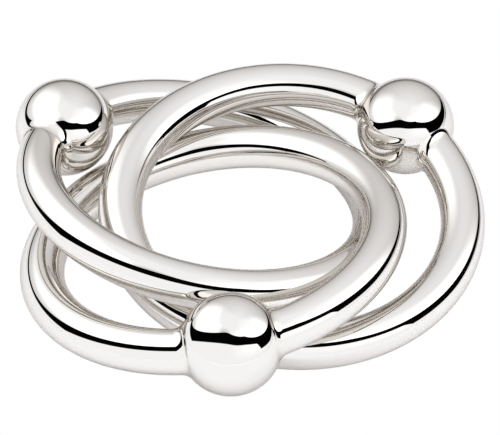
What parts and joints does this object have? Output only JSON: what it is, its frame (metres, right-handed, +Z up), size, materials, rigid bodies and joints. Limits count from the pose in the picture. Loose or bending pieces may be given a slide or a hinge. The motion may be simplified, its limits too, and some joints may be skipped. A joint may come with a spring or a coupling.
{
  "type": "interlinked ring puzzle",
  "caption": "Puzzle of interlinked round-bar rings lying in a low nest, each passing through the others and closed by a ball, polished chrome.",
  "frame": {"origin": "on the table under the middle of the nest's outline", "axes": "+Z up from the table; +X to the right and -Y to the front, where the front ring's ball is"},
  "size_m": [0.0848, 0.0878, 0.023],
  "materials": {
    "chrome": "mirror polished chrome plate over steel",
    "braze": "brazed fillet, polished and plated over with the ring",
    "steel": "bright drawn steel, hidden inside the ball"
  },
  "bodies": {
    "front_ring": {"front_ring_bar": "chrome", "front_ring_ball": "chrome", "front_ring_dowel": "steel", "front_ring_braze_before_ball": "braze", "front_ring_braze_after_ball": "braze"},
    "left_ring": {"left_ring_bar": "chrome", "left_ring_ball": "chrome", "left_ring_dowel": "steel", "left_ring_braze_before_ball": "braze", "left_ring_braze_after_ball": "braze"},
    "right_ring": {"right_ring_bar": "chrome", "right_ring_ball": "chrome", "right_ring_dowel": "steel", "right_ring_braze_before_ball": "braze", "right_ring_braze_after_ball": "braze"}
  },
  "joints": [
    {"name": "left_ring_swivel", "type": "hinge", "parent": "front_ring", "child": "left_ring", "pos_m": [-0.00765, 0.00914, 0.01074], "axis": [-0.4939, 0.8695, 0], "range_deg": [0, 45]},
    {"name": "right_ring_swivel", "type": "hinge", "parent": "front_ring", "child": "right_ring", "pos_m": [0.0075, 0.00455, 0.0097], "axis": [0.9781, 0.2079, 0], "range_deg": [0, 70]}
  ]
}
